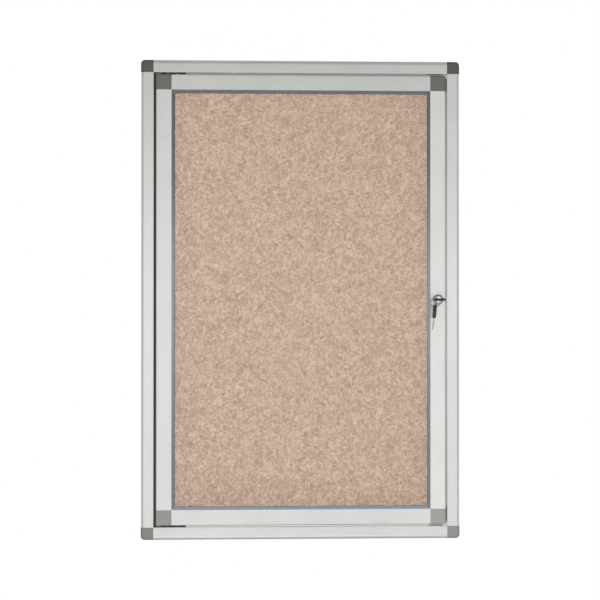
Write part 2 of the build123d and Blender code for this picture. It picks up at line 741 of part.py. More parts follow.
def key_blade(plane):
    """A key's flat blade on the same plane, with its tang, its point and V cuts in both edges."""
    tip = HEAD_LENGTH + NECK + BLADE_LENGTH
    half_width = BLADE_WIDTH / 2
    with BuildPart() as blade:
        with BuildSketch(plane):
            with BuildLine():
                Polyline(
                    (-half_width, HEAD_LENGTH - TANG),
                    (half_width, HEAD_LENGTH - TANG),
                    (half_width, tip - BLADE_POINT),
                    (half_width - BLADE_POINT, tip),
                    (BLADE_POINT - half_width, tip),
                    (-half_width, tip - BLADE_POINT),
                    close=True,
                )
            make_face()
            for number in range(BIT_COUNT):
                along = HEAD_LENGTH + NECK + BIT_FIRST + number * BIT_PITCH
                cut = BIT_STEP * (1 + number % 3) * 2**0.5
                with Locations((-half_width, along), (half_width, along)):
                    Rectangle(cut, cut, rotation=45, mode=Mode.SUBTRACT)
        extrude(amount=BLADE_THICKNESS / 2, both=True)
    return blade


key_plane = Plane((LOCK_X, KEY_END_Y, 0), x_dir=(1, 0, 0), z_dir=(0, 0, 1))
spare_key_hang = Plane((RING_X, RING_Y, SPARE_KEY_TOP), x_dir=(0, 1, 0), z_dir=(-1, 0, 0))
spare_key_plane = spare_key_hang.rotated((0, SPARE_KEY_LEAN, 0))
write(key_head(key_plane), "key_head")
write(key_blade(key_plane), "key_blade")
write(key_head(spare_key_plane), "spare_key_head")
write(key_blade(spare_key_plane), "spare_key_blade")

with BuildPart() as key_ring:
    with BuildSketch(Plane((RING_X, RING_Y, RING_Z))):
        with Locations((RING_BORE_RADIUS + RING_WIRE_RADIUS, 0)):
            Circle(RING_WIRE_RADIUS)
    revolve(axis=Axis((RING_X, RING_Y, RING_Z), (0, 1, 0)))
write(key_ring, "key_ring")
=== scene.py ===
"""Looks of a lockable notice board display case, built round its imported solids."""

import logging
import math
import random
from abc import ABC, abstractmethod
from dataclasses import dataclass, field
from enum import Enum
from typing import Any, Mapping, Optional, Sequence, Union

import bmesh
import bpy
from mathutils import Euler, Matrix, Vector, noise


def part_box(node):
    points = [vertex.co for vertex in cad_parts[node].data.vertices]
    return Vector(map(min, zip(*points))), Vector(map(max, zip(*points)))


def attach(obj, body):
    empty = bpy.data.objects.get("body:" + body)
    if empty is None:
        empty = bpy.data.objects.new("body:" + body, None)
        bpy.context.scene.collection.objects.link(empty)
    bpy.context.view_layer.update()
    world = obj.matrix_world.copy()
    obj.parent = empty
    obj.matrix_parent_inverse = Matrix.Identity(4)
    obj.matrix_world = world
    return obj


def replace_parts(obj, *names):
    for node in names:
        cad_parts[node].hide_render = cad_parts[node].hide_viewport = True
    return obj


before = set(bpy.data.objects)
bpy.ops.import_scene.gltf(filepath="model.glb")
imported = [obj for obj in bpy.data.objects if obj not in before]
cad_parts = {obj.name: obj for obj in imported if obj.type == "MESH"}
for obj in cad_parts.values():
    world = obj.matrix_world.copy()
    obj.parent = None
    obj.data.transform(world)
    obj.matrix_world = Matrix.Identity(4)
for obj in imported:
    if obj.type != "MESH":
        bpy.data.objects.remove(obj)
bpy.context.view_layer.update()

LOG = logging.getLogger("display_case")
MM = 0.001
FRONT_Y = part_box("case_top_rail")[0][1]

Colour = tuple[float, float, float]
Triple = tuple[float, float, float]
SocketKey = Union[str, int]
WHITE: Colour = (1.0, 1.0, 1.0)


class Along(Enum):
    """The way that an extrusion or a strip runs."""

    X = 0
    Z = 2

    def stretch(self, factor: float) -> Triple:
        """Scales that draw a pattern out along the piece."""
        return tuple(factor if axis == self.value else 1.0 for axis in range(3))


class Body(Enum):
    """The moving bodies that new pieces ride on."""

    CASE = "case"
    PLUG = "lock_plug"
    RING = "key_ring"


class Slot(Enum):
    """Three of the record's material slots; the script doesn't use them."""

    FELT = "felt"
    BRIGHT_STEEL = "bright_steel"
    KEY_METAL = "key_metal"


def shaded(colour: Colour, factor: float, lift: float = 0.0) -> Colour:
    """A lighter or darker colour, with no channel above 1.

    Args:
        colour: The colour to start from.
        factor: What each channel is multiplied by.
        lift: What each channel gets on top.

    Returns:
        The new colour.
    """
    return tuple(min(1.0, channel * factor + lift) for channel in colour)


class Value:
    """A shader output that can be used in Python arithmetic."""

    def __init__(self, graph: "Graph", socket: bpy.types.NodeSocket) -> None:
        """Keeps the socket and the graph that new nodes go into.

        Args:
            graph: The graph that the socket belongs to.
            socket: The output that this value stands for.
        """
        self.graph = graph
        self.socket = socket

    def _math(self, operation: str, first: Any, second: Any) -> "Value":
        """Adds one Math node.

        Args:
            operation: The node's operation.
            first: A value or a number.
            second: A value or a number.

        Returns:
            The node's result.
        """
        return self.graph.add("ShaderNodeMath", {"operation": operation}, {0: first, 1: second})

    def __add__(self, other: Any) -> "Value":
        """Sum of this and another value."""
        return self._math("ADD", self, other)

    def __radd__(self, other: float) -> "Value":
        """Sum of a number and this value."""
        return self._math("ADD", other, self)

    def __sub__(self, other: Any) -> "Value":
        """Difference of this and another value."""
        return self._math("SUBTRACT", self, other)

    def __rsub__(self, other: float) -> "Value":
        """Difference of a number and this value."""
        return self._math("SUBTRACT", other, self)

    def __mul__(self, other: Any) -> "Value":
        """Product of this and another value."""
        return self._math("MULTIPLY", self, other)

    def __rmul__(self, other: float) -> "Value":
        """Product of a number and this value."""
        return self._math("MULTIPLY", other, self)

    def __pow__(self, other: float) -> "Value":
        """This value to a power."""
        return self._math("POWER", self, other)

    def at_least(self, other: Any) -> "Value":
        """The larger of this and another value."""
        return self._math("MAXIMUM", self, other)

    def step(self, low: float, high: float) -> "Value":
        """A soft step from 0 to 1.

        Args:
            low: Where the step starts.
            high: Where the step ends.

        Returns:
            The stepped value.
        """
        settings = {"interpolation_type": "SMOOTHSTEP"}
        return self.graph.add("ShaderNodeMapRange", settings, {0: self, 1: low, 2: high})


class Graph:
    """The node tree of one material or of the world."""

    def __init__(self, tree: bpy.types.NodeTree, output: str) -> None:
        """Empties the tree and adds its output node.

        Args:
            tree: The tree to fill.
            output: The type of its output node.
        """
        self.tree = tree
        tree.nodes.clear()
        self.output = tree.nodes.new(output)

    def add(
        self,
        kind: str,
        settings: Optional[Mapping[str, Any]] = None,
        inputs: Optional[Mapping[SocketKey, Any]] = None,
        out: SocketKey = 0,
    ) -> Value:
        """Adds a node, with its settings first and then its sockets.

        Args:
            kind: The node's type.
            settings: The node's properties; "stops" holds a ramp's positions and colours.
            inputs: Values or links by socket name or number.
            out: The output to return.

        Returns:
            The chosen output.
        """
        node = self.tree.nodes.new(kind)
        for name, setting in (settings or {}).items():
            if name == "stops":
                self._set_stops(node.color_ramp, setting)
            else:
                setattr(node, name, setting)
        for key, entry in (inputs or {}).items():
            socket = node.inputs[key]
            if isinstance(entry, Value):
                self.tree.links.new(entry.socket, socket)
            elif socket.type == "RGBA" and len(entry) == 3:
                socket.default_value = (*entry, 1.0)
            else:
                socket.default_value = entry
        return Value(self, node.outputs[out])

    @staticmethod
    def _set_stops(ramp: bpy.types.ColorRamp, stops: Sequence[tuple[float, Colour]]) -> None:
        """Sets a ramp's stops.

        Args:
            ramp: The ramp to set.
            stops: Positions with their colours.
        """
        while len(ramp.elements) < len(stops):
            ramp.elements.new(1.0)
        for element, (position, colour) in zip(ramp.elements, stops):
            element.position = position
            element.color = (*colour, 1.0)

    def place(self, scale: Triple = (1.0, 1.0, 1.0), turn: Triple = (0.0, 0.0, 0.0)) -> Value:
        """The piece's own coordinates in metres, stretched and turned.

        Args:
            scale: The factor along each axis.
            turn: The turn about each axis in degrees.

        Returns:
            The coordinates.
        """
        own = self.add("ShaderNodeTexCoord", out="Object")
        angles = tuple(math.radians(angle) for angle in turn)
        return self.add("ShaderNodeMapping", None, {"Vector": own, "Rotation": angles, "Scale": scale})

    def axis(self, name: str) -> Value:
        """One of the piece's own coordinates, in metres."""
        return self.add("ShaderNodeSeparateXYZ", None, {0: self.place()}, name)

    def noise(
        self,
        place: Value,
        scale: float,
        detail: float = 3.0,
        rough: float = 0.5,
        warp: float = 0.0,
    ) -> Value:
        """Fractal noise between 0 and 1.

        Args:
            place: The coordinates to read.
            scale: Cells to a metre.
            detail: The number of octaves.
            rough: The weight of the finer octaves.
            warp: How far the pattern is distorted.

        Returns:
            The noise value.
        """
        inputs = {"Vector": place, "Scale": scale, "Detail": detail, "Roughness": rough, "Distortion": warp}
        return self.add("ShaderNodeTexNoise", None, inputs, "Fac")

    def mix(self, factor: Any, first: Any, second: Any) -> Value:
        """A colour between two colours.

        Args:
            factor: 0 for the first colour, 1 for the second.
            first: A colour or a value.
            second: A colour or a value.

        Returns:
            The mixed colour.
        """
        return self.add("ShaderNodeMix", {"data_type": "RGBA"}, {0: factor, 6: first, 7: second}, 2)

    def ramp(self, factor: Value, *stops: tuple[float, Colour]) -> Value:
        """A colour from a ramp.

        Args:
            factor: Where on the ramp to read.
            stops: Positions with their colours.

        Returns:
            The colour.
        """
        return self.add("ShaderNodeValToRGB", {"stops": stops}, {0: factor})

    def bump(self, height: Value, depth: float, under: Optional[Value] = None) -> Value:
        """A bumped normal.

        Args:
            height: The height between 0 and 1.
            depth: What a height of 1 stands for, in metres.
            under: A normal that this bump is laid over.

        Returns:
            The normal.
        """
        inputs: dict[SocketKey, Any] = {"Height": height, "Distance": depth, "Strength": 1.0}
        if under is not None:
            inputs["Normal"] = under
        return self.add("ShaderNodeBump", None, inputs)

    def surface(self, shader: Value) -> None:
        """Links a shader to the output."""
        self.tree.links.new(shader.socket, self.output.inputs["Surface"])

    def shade(self, inputs: Mapping[SocketKey, Any]) -> None:
        """Ends the graph in a Principled shader with these inputs."""
        self.surface(self.add("ShaderNodeBsdfPrincipled", None, inputs))


@dataclass(frozen=True)
class Finish(ABC):
    """A surface finish that becomes one material."""

    name: str

    def make(self) -> bpy.types.Material:
        """Builds the finish's material, or finds the one that it built before.

        Returns:
            The material.
        """
        known = bpy.data.materials.get(self.name)
        if known is not None:
            return known
        material = bpy.data.materials.new(self.name)
        material.use_nodes = True
        self.fill(Graph(material.node_tree, "ShaderNodeOutputMaterial"))
        return material

    @abstractmethod
    def fill(self, graph: Graph) -> None:
        """Fills the material's graph."""


@dataclass(frozen=True)
class AnodisedAluminium(Finish):
    """Satin silver anodised extrusion with fine die lines along it, and painted light that makes its faces
    behind the front paler.
    """

    along: Along
    colour: Colour = (0.86, 0.86, 0.848)
    roughness: float = 0.3
    metal: float = 0.97
    line_pitch: float = 0.45 * MM
    line_depth: float = 0.012 * MM
    line_stretch: float = 0.004
    broad_cells: float = 90.0
    cloud_cells: float = 9.0
    speck: Colour = (0.42, 0.42, 0.41)
    speck_cells: float = 420.0
    rub_cells: float = 160.0
    # Painted light: a paler colour for the faces behind the front, on the walls of the shaded gaps.
    inner_painted_light: Colour = (0.97, 0.97, 0.96)
    inner_roughness: float = 0.3
    inner_from: float = 1.5 * MM
    inner_to: float = 3.5 * MM

    def fill(self, graph: Graph) -> None:
        """Die lines, cloudy anodising, faint rubbed marks and painted light that makes the faces behind the
        front paler.

        Args:
            graph: The material's graph.
        """
        drawn = graph.place(scale=self.along.stretch(self.line_stretch))
        lines = graph.noise(drawn, 1.0 / self.line_pitch, detail=2.0)
        broad = graph.noise(drawn, self.broad_cells)
        cloud = graph.noise(graph.place(), self.cloud_cells, detail=4.0, rough=0.55)
        specks = graph.noise(graph.place(), self.speck_cells, detail=2.0).step(0.68, 0.78)
        slant = graph.place(turn=(0.0, 37.0, 0.0), scale=(1.0, 1.0, 0.12))
        rubbed = graph.noise(slant, self.rub_cells, detail=5.0, warp=0.6)
        rubs = rubbed.step(0.66, 0.74) * cloud.step(0.5, 0.62)
        clouds = cloud.step(0.3, 0.7) * 0.5 + broad * 0.5
        tint = graph.mix(clouds, shaded(self.colour, 0.94), shaded(self.colour, 1.05))
        spotted = graph.mix(specks * 0.12, tint, self.speck)
        # Painted light: faces a few millimetres behind the front fade to the paler colour, lighting the gap
        # walls.
        behind = graph.axis("Y").step(FRONT_Y + self.inner_from, FRONT_Y + self.inner_to)
        rough = lines * 0.1 + cloud * 0.06 + (self.roughness - 0.08) - rubs * 0.06
        graph.shade(
            {
                "Base Color": graph.mix(behind, spotted, self.inner_painted_light),
                "Metallic": self.metal,
                "Roughness": rough + behind * (self.inner_roughness - self.roughness),
                "Normal": graph.bump(lines * 0.7 + broad * 0.3, self.line_depth),
            }
        )


@dataclass(frozen=True)
class MouldedPlastic(Finish):
    """Moulded plastic with a fine spark-eroded grain."""

    colour: Colour
    roughness: float = 0.5
    grain: float = 0.5 * MM
    grain_depth: float = 0.02 * MM
    shade_cells: float = 60.0
    flow_cells: float = 140.0
    scuff_cells: float = 700.0

    def fill(self, graph: Graph) -> None:
        """Fine grain, a slow change of shade, flow marks and a few scuffs.

        Args:
            graph: The material's graph.
        """
        own = graph.place()
        grain = graph.noise(own, 1.0 / self.grain, detail=2.0, rough=0.6)
        shade = graph.noise(own, self.shade_cells)
        run = graph.place(turn=(0.0, 30.0, 0.0), scale=(1.0, 1.0, 0.25))
        flow = graph.noise(run, self.flow_cells, warp=1.2)
        drag = graph.place(turn=(20.0, 60.0, 10.0), scale=(1.0, 0.15, 1.0))
        scuff = graph.noise(drag, self.scuff_cells).step(0.67, 0.75)
        deep = shaded(self.colour, 0.86)
        pale = shaded(self.colour, 1.14, 0.004)
        worn = shaded(self.colour, 1.4, 0.02)
        tint = graph.mix(shade * 0.55 + flow * 0.25 + grain * 0.2, deep, pale)
        graph.shade(
            {
                "Base Color": graph.mix(scuff * 0.25, tint, worn),
                "Roughness": grain * 0.14 + (self.roughness - 0.07) - scuff * 0.08,
                "Normal": graph.bump(grain, self.grain_depth),
            }
        )


@dataclass(frozen=True)
class SealRubber(Finish):
    """Soft blue-grey seal, with lines along it, a bloom of dust, and painted shade that darkens it above
    and below the middle of the case.
    """

    along: Along
    colour: Colour
    upper: float
    lower: float
    # How dark the painted shade gets, and the heights from the middle over which it comes in.
    dark: float = 0.25
    dark_from: float = 20.0 * MM
    dark_to: float = 300.0 * MM
    roughness: float = 0.62
    line_cells: float = 1400.0
    line_depth: float = 0.03 * MM
    line_stretch: float = 0.01
    bloom_cells: float = 45.0
    dust: Colour = (0.5, 0.5, 0.48)
    dust_cells: float = 900.0

    def _painted_shade(self, graph: Graph, tint: Value) -> Value:
        """Paints shade on the seal, darker above and below the middle of the case, as the photograph shows
        it.

        Args:
            graph: The graph to build in.
            tint: The seal's colour.

        Returns:
            The graded colour.
        """
        height = graph.axis("Z")
        upper = height.step(self.dark_from, self.dark_to) * self.upper
        lower = (0.0 - height).step(self.dark_from, self.dark_to) * self.lower
        return graph.mix(upper + lower, tint, shaded(self.colour, self.dark))

    def fill(self, graph: Graph) -> None:
        """Lines from the die, a mottled bloom and dust that dulls it.

        Args:
            graph: The material's graph.
        """
        drawn = graph.place(scale=self.along.stretch(self.line_stretch))
        lines = graph.noise(drawn, self.line_cells, detail=2.0)
        bloom = graph.noise(graph.place(), self.bloom_cells, detail=4.0, rough=0.6)
        dust = graph.noise(graph.place(), self.dust_cells, detail=2.0).step(0.6, 0.75)
        tint = graph.mix(bloom * 0.6 + lines * 0.4, shaded(self.colour, 0.82), shaded(self.colour, 1.18))
        graph.shade(
            {
                "Base Color": self._painted_shade(graph, graph.mix(dust * 0.2, tint, self.dust)),
                "Roughness": bloom * 0.2 + (self.roughness - 0.1),
                "Normal": graph.bump(lines, self.line_depth),
            }
        )


@dataclass(frozen=True)
class ClearPane(Finish):
    """Clear pane: mostly let through, with a mirror film by angle."""

    tint: Colour = (0.985, 0.992, 0.99)
    roughness: float = 0.03
    wipe_cells: float = 26.0
    wipe_share: float = 0.004
    face_share: float = 0.005
    edge_share: float = 0.7
    edge_power: float = 3.0

    def fill(self, graph: Graph) -> None:
        """A see-through shader, reflections that grow towards the edges of view, and faint wipe marks.

        Args:
            graph: The material's graph.
        """
        slant = graph.place(turn=(0.0, 24.0, 0.0), scale=(1.0, 1.0, 0.2))
        wipes = graph.noise(slant, self.wipe_cells, detail=5.0, warp=1.5).step(0.5, 0.75)
        facing = graph.add("ShaderNodeLayerWeight", None, {"Blend": 0.5}, "Facing")
        through = graph.add("ShaderNodeBsdfTransparent", None, {"Color": self.tint})
        mirror = graph.add("ShaderNodeBsdfAnisotropic", None, {"Color": WHITE, "Roughness": self.roughness})
        share = facing**self.edge_power * self.edge_share + wipes * self.wipe_share + self.face_share
        graph.surface(graph.add("ShaderNodeMixShader", None, {0: share, 1: through, 2: mirror}))


@dataclass(frozen=True)
class CurlLayer:
    """A layer of curly fibres in the felt: its turn in degrees, its size and the width of a fibre in it."""

    turn: float
    size: float
    width: float


@dataclass(frozen=True)
class NeedledFelt(Finish):
    """Beige needled felt: curly matted fibres of several shades."""

    deep: Colour = (0.2435, 0.169, 0.1294)
    middle: Colour = (0.4735, 0.337, 0.264)
    pale: Colour = (0.69, 0.5145, 0.4117)
    pale_curls: Sequence[CurlLayer] = (CurlLayer(11.0, 1.0, 0.055), CurlLayer(37.0, 0.75, 0.06))
    dark_curls: Sequence[CurlLayer] = (CurlLayer(61.0, 1.1, 0.05), CurlLayer(83.0, 0.8, 0.05))
    curl: float = 15.0 * MM
    curl_depth: float = 0.4 * MM
    tuft: float = 18.0 * MM
    nap: float = 1.0 * MM
    nap_depth: float = 0.15 * MM

    def _layer(self, graph: Graph, layer: CurlLayer) -> Value:
        """One layer of curly fibres: thin bands along the level lines of a noise.

        Args:
            graph: The graph to build in.
            layer: The layer to build.

        Returns:
            A value that is 1 along a fibre.
        """
        swept = graph.place(turn=(layer.turn, layer.turn * 1.7, layer.turn * 0.6))
        level = graph.noise(swept, 1.0 / (self.curl * layer.size), detail=1.0, warp=1.0) - 0.5
        return 1.0 - level.at_least(0.0 - level).step(0.0, layer.width)

    def _curls(self, graph: Graph, layers: Sequence[CurlLayer]) -> Value:
        """Two layers of curly fibres, one over the other.

        Args:
            graph: The graph to build in.
            layers: The two layers.

        Returns:
            A value that is 1 along any fibre.
        """
        over, under = (self._layer(graph, layer) for layer in layers)
        return over.at_least(under)

    def fill(self, graph: Graph) -> None:
        """Pale and dark curls over a mottled ground, with a soft nap.

        Args:
            graph: The material's graph.
        """
        pale = self._curls(graph, self.pale_curls)
        dark = self._curls(graph, self.dark_curls)
        spots = graph.noise(graph.place(), 1.0 / (0.35 * self.tuft), detail=2.0).step(0.62, 0.76)
        fine = graph.noise(graph.place(scale=(1.0, 1.0, 0.6)), 1.0 / self.nap, detail=4.0, warp=2.0)
        tufts = graph.noise(graph.place(), 1.0 / self.tuft, rough=0.6)
        drift = graph.noise(graph.place(), 1.0 / (5.5 * self.tuft), detail=2.0)
        level = pale * 0.2 - dark * 0.13 - spots * 0.09 + fine * 0.04 + tufts * 0.1 + drift * 0.02 + 0.382
        curled = graph.bump(pale * 0.5 - dark * 0.4 + tufts * 0.4, self.curl_depth)
        graph.shade(
            {
                "Base Color": graph.ramp(level, (0.22, self.deep), (0.5, self.middle), (0.8, self.pale)),
                "Roughness": 0.95,
                "Specular IOR Level": 0.12,
                "Sheen Weight": 0.08,
                "Sheen Roughness": 0.6,
                "Normal": graph.bump(fine, self.nap_depth, curled),
            }
        )


@dataclass(frozen=True)
class BareMetal(Finish):
    """Plated or bare metal with hairline scratches."""

    colour: Colour
    roughness: float
    scratch: float = 0.3
    patch: float = 0.05
    patch_cells: float = 260.0
    fine_cells: float = 2600.0
    coarse_cells: float = 2100.0
    hair_stretch: float = 0.03
    hair_depth: float = 0.006 * MM

    def fill(self, graph: Graph) -> None:
        """Hairlines in two directions over a slightly patchy plate.

        Args:
            graph: The material's graph.
        """
        one_way = graph.place(turn=(35.0, 20.0, 0.0), scale=(1.0, self.hair_stretch, 1.0))
        other_way = graph.place(turn=(0.0, 65.0, 30.0), scale=(self.hair_stretch, 1.0, 1.0))
        fine = graph.noise(one_way, self.fine_cells, detail=2.0).step(0.62, 0.7)
        coarse = graph.noise(other_way, self.coarse_cells, detail=2.0).step(0.64, 0.72)
        hairs = fine.at_least(coarse)
        patches = graph.noise(graph.place(), self.patch_cells)
        rough = patches * self.patch + hairs * (0.3 * self.scratch)
        graph.shade(
            {
                "Base Color": graph.mix(patches, shaded(self.colour, 0.86), self.colour),
                "Metallic": 1.0,
                "Roughness": rough + (self.roughness - self.patch * 0.5),
                "Normal": graph.bump(hairs, self.hair_depth * self.scratch),
            }
        )


@dataclass(frozen=True)
class StovedPaint(Finish):
    """Black stoved paint with a slight orange peel, rubbed bright here and there."""

    colour: Colour = (0.035, 0.034, 0.034)
    dusty: Colour = (0.06, 0.06, 0.06)
    steel: Colour = (0.3, 0.3, 0.3)
    peel_cells: float = 700.0
    peel_depth: float = 0.02 * MM
    dust_cells: float = 130.0
    rub_cells: float = 320.0

    def fill(self, graph: Graph) -> None:
        """Orange peel, dust and small rubbed spots.

        Args:
            graph: The material's graph.
        """
        peel = graph.noise(graph.place(), self.peel_cells, detail=2.0)
        dust = graph.noise(graph.place(), self.dust_cells, detail=4.0)
        rubbed = graph.noise(graph.place(), self.rub_cells, detail=4.0, rough=0.7).step(0.63, 0.7)
        tint = graph.mix(dust.step(0.45, 0.8) * 0.3, self.colour, self.dusty)
        graph.shade(
            {
                "Base Color": graph.mix(rubbed, tint, self.steel),
                "Metallic": rubbed,
                "Roughness": peel * 0.12 + dust * 0.16 + 0.3,
                "Normal": graph.bump(peel, self.peel_depth),
            }
        )


@dataclass(frozen=True)
class GalvanisedSheet(Finish):
    """Galvanised sheet with spangled zinc crystals."""

    crystal: float = 14.0 * MM
    ragged: float = 4.0 * MM
    ragged_cells: float = 120.0
    deep: Colour = (0.42, 0.44, 0.455)
    pale: Colour = (0.62, 0.635, 0.645)
    dull: Colour = (0.58, 0.59, 0.59)
    bloom_cells: float = 16.0

    def fill(self, graph: Graph) -> None:
        """Crystals of differing grey, with dull white bloom over them.

        Args:
            graph: The material's graph.
        """
        edges = graph.noise(graph.place(), self.ragged_cells, detail=2.0) * self.ragged
        moved = graph.add("ShaderNodeVectorMath", {"operation": "ADD"}, {0: graph.place(), 1: edges})
        cells = {"Vector": moved, "Scale": 1.0 / self.crystal, "Randomness": 1.0}
        shade = graph.add("ShaderNodeTexVoronoi", {"feature": "F1"}, cells, "Color")
        split = graph.add("ShaderNodeSeparateColor", None, {0: shade}, 0)
        bloom = graph.noise(graph.place(), self.bloom_cells, detail=5.0, rough=0.6)
        colour = graph.ramp(split, (0.0, self.deep), (1.0, self.pale))
        graph.shade(
            {
                "Base Color": graph.mix(bloom.step(0.5, 0.75) * 0.35, colour, self.dull),
                "Metallic": 1.0 - bloom.step(0.55, 0.8) * 0.3,
                "Roughness": split * 0.18 + bloom * 0.15 + 0.26,
            }
        )


@dataclass(frozen=True)
class SoftBoard(Finish):
    """Pressed softboard: short wood fibres in layers."""

    deep: Colour = (0.3, 0.2, 0.11)
    pale: Colour = (0.52, 0.38, 0.23)
    bark: Colour = (0.16, 0.1, 0.06)
    layer_cells: float = 260.0
    layer_depth: float = 0.2 * MM
    fleck_cells: float = 700.0

    def fill(self, graph: Graph) -> None:
        """Pressed fibres that lie flat, with dark flecks.

        Args:
            graph: The material's graph.
        """
        layers = graph.noise(graph.place(scale=(1.0, 6.0, 1.0)), self.layer_cells, detail=4.0, warp=0.8)
        fleck = graph.noise(graph.place(scale=(0.4, 2.0, 1.0)), self.fleck_cells).step(0.62, 0.72)
        tint = graph.ramp(layers, (0.3, self.deep), (0.7, self.pale))
        graph.shade(
            {
                "Base Color": graph.mix(fleck * 0.6, tint, self.bark),
                "Roughness": 0.9,
                "Normal": graph.bump(layers, self.layer_depth),
            }
        )


@dataclass(frozen=True)
class FeltFibre(Finish):
    """Loose fibres of the felt, each of a slightly different shade."""

    deep: Colour = (0.36, 0.25, 0.18)
    pale: Colour = (0.84, 0.72, 0.62)
    shade_cells: float = 170.0

    def fill(self, graph: Graph) -> None:
        """A shade that changes from one place on the felt to the next.

        Args:
            graph: The material's graph.
        """
        shade = graph.noise(graph.place(), self.shade_cells, detail=2.0).step(0.36, 0.62)
        colour = graph.mix(shade, self.deep, self.pale)
        graph.shade({"Base Color": colour, "Roughness": 0.9, "Sheen Weight": 0.1})


@dataclass(frozen=True)
class FlatLight(Finish):
    """The light of a studio card of one grey."""

    level: float

    def fill(self, graph: Graph) -> None:
        """Lights the whole card alike."""
        grey = (self.level, self.level, self.level)
        graph.surface(graph.add("ShaderNodeEmission", None, {"Color": grey, "Strength": 1.0}))


@dataclass(frozen=True)
class BandedLight(Finish):
    """The light of the front card: brightest at eye level, less above and below."""

    foot: float
    height: float
    strength: float = 1.295
    bands: Sequence[tuple[float, Colour]] = (
        (0.0, (0.48, 0.48, 0.475)),
        (0.25, (0.555, 0.555, 0.55)),
        (0.34, (0.745, 0.745, 0.74)),
        (0.414, (1.0, 1.0, 0.998)),
        (0.5, (0.75, 0.75, 0.742)),
        (0.57, (0.44, 0.44, 0.43)),
        (0.64, (0.355, 0.355, 0.345)),
        (1.0, (0.2, 0.2, 0.193)),
    )

    def fill(self, graph: Graph) -> None:
        """Lights the card by height.

        Args:
            graph: The material's graph.
        """
        level = (graph.axis("Z") - self.foot) * (1.0 / self.height)
        colour = graph.ramp(level, *self.bands)
        graph.surface(graph.add("ShaderNodeEmission", None, {"Color": colour, "Strength": self.strength}))


@dataclass(frozen=True)
class PaleFloor(Finish):
    """A pale floor that fades into the white at its rim."""

    radius: float
    fade_from: float = 0.45
    fade_to: float = 0.98
    lift: float = 0.6
    deep: Colour = (0.86, 0.86, 0.855)
    pale: Colour = (0.9, 0.9, 0.895)
    grain_cells: float = 240.0

    def fill(self, graph: Graph) -> None:
        """A matt floor, lifted towards white for the eye alone.

        Args:
            graph: The material's graph.
        """
        own = graph.place(scale=(1.0, 1.0, 0.0))
        reach = graph.add("ShaderNodeVectorMath", {"operation": "LENGTH"}, {0: own}, "Value")
        rim = reach.step(self.radius * self.fade_from, self.radius * self.fade_to)
        tone = graph.mix(graph.noise(graph.place(), self.grain_cells), self.deep, self.pale)
        matt = graph.add("ShaderNodeBsdfDiffuse", None, {"Color": tone})
        white = graph.add("ShaderNodeEmission", None, {"Color": WHITE, "Strength": 1.0})
        seen = graph.add("ShaderNodeLightPath", out="Is Camera Ray")
        share = rim.at_least(self.lift) * seen
        graph.surface(graph.add("ShaderNodeMixShader", None, {0: share, 1: matt, 2: white}))


def dress(finish: Finish, *nodes: str) -> None:
    """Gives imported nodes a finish.

    Args:
        finish: The finish to use.
        nodes: The nodes' names.
    """
    material = finish.make()
    for node in nodes:
        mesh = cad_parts[node].data
        mesh.materials.clear()
        mesh.materials.append(material)
    LOG.info("%s on %s", finish.name, ", ".join(nodes))


def make_object(name: str, shape: bmesh.types.BMesh, finish: Finish) -> bpy.types.Object:
    """Turns a finished bmesh into an object of the scene.

    Args:
        name: The object's name.
        shape: The mesh in metres, in its place; it is freed here.
        finish: The finish that it gets.

    Returns:
        The new object.
    """
    mesh = bpy.data.meshes.new(name)
    shape.to_mesh(mesh)
    shape.free()
    mesh.materials.append(finish.make())
    made = bpy.data.objects.new(name, mesh)
    bpy.context.scene.collection.objects.link(made)
    return made


def make_piece(
    name: str,
    shape: bmesh.types.BMesh,
    finish: Finish,
    body: Body,
) -> bpy.types.Object:
    """Turns a finished bmesh into a piece that rides on a body.

    Args:
        name: The piece's name.
        shape: The mesh in metres, in its place; it is freed here.
        finish: The finish that it gets.
        body: The body that it rides on.

    Returns:
        The new piece.
    """
    piece = make_object(name, shape, finish)
    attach(piece, body.value)
    LOG.info("%s: %d faces on %s", name, len(piece.data.polygons), body.value)
    return piece


def shade_smooth(piece: bpy.types.Object, angle: float = 35.0) -> None:
    """Shades a piece smooth where its faces meet at less than an angle in degrees."""
    piece.data.shade_smooth()
    piece.data.set_sharp_from_angle(angle=math.radians(angle))


@dataclass
class ExtrudedFrame:
    """A frame of four extrusions that are joined by four moulded corners."""

    kind: str
    corner_finish: str
    stile_roughness: float
    corners: Mapping[str, Colour]
    # Greys for the two stiles; on the door they differ from the rails' as painted light.
    hinge_side: Colour = AnodisedAluminium.colour
    lock_side: Colour = AnodisedAluminium.colour
    bottom_inner: float = 0.12
    lock_inner: float = 0.22
    corner_roughness: float = 0.46

    def build(self) -> None:
        """Dresses the extrusions and the corners."""
        alloy = f"{self.kind}_aluminium"
        upright = {"along": Along.Z, "roughness": self.stile_roughness}
        lock_look = {"colour": self.lock_side, "inner_roughness": self.lock_inner}
        top = AnodisedAluminium(f"{alloy}_top", Along.X)
        bottom = AnodisedAluminium(f"{alloy}_bottom", Along.X, inner_roughness=self.bottom_inner)
        hinge = AnodisedAluminium(f"{alloy}_hinge", **upright, colour=self.hinge_side)
        lock = AnodisedAluminium(f"{alloy}_lock", **upright, **lock_look)
        dress(top, f"{self.kind}_top_rail")
        dress(bottom, f"{self.kind}_bottom_rail")
        dress(hinge, f"{self.kind}_hinge_stile")
        dress(lock, f"{self.kind}_lock_stile")
        # The corners are one plastic; their greys differ from corner to corner as painted shade.
        for corner, colour in self.corners.items():
            plastic = MouldedPlastic(f"{self.corner_finish}_{corner}", colour, self.corner_roughness)
            dress(plastic, f"{self.kind}_corner_{corner}")


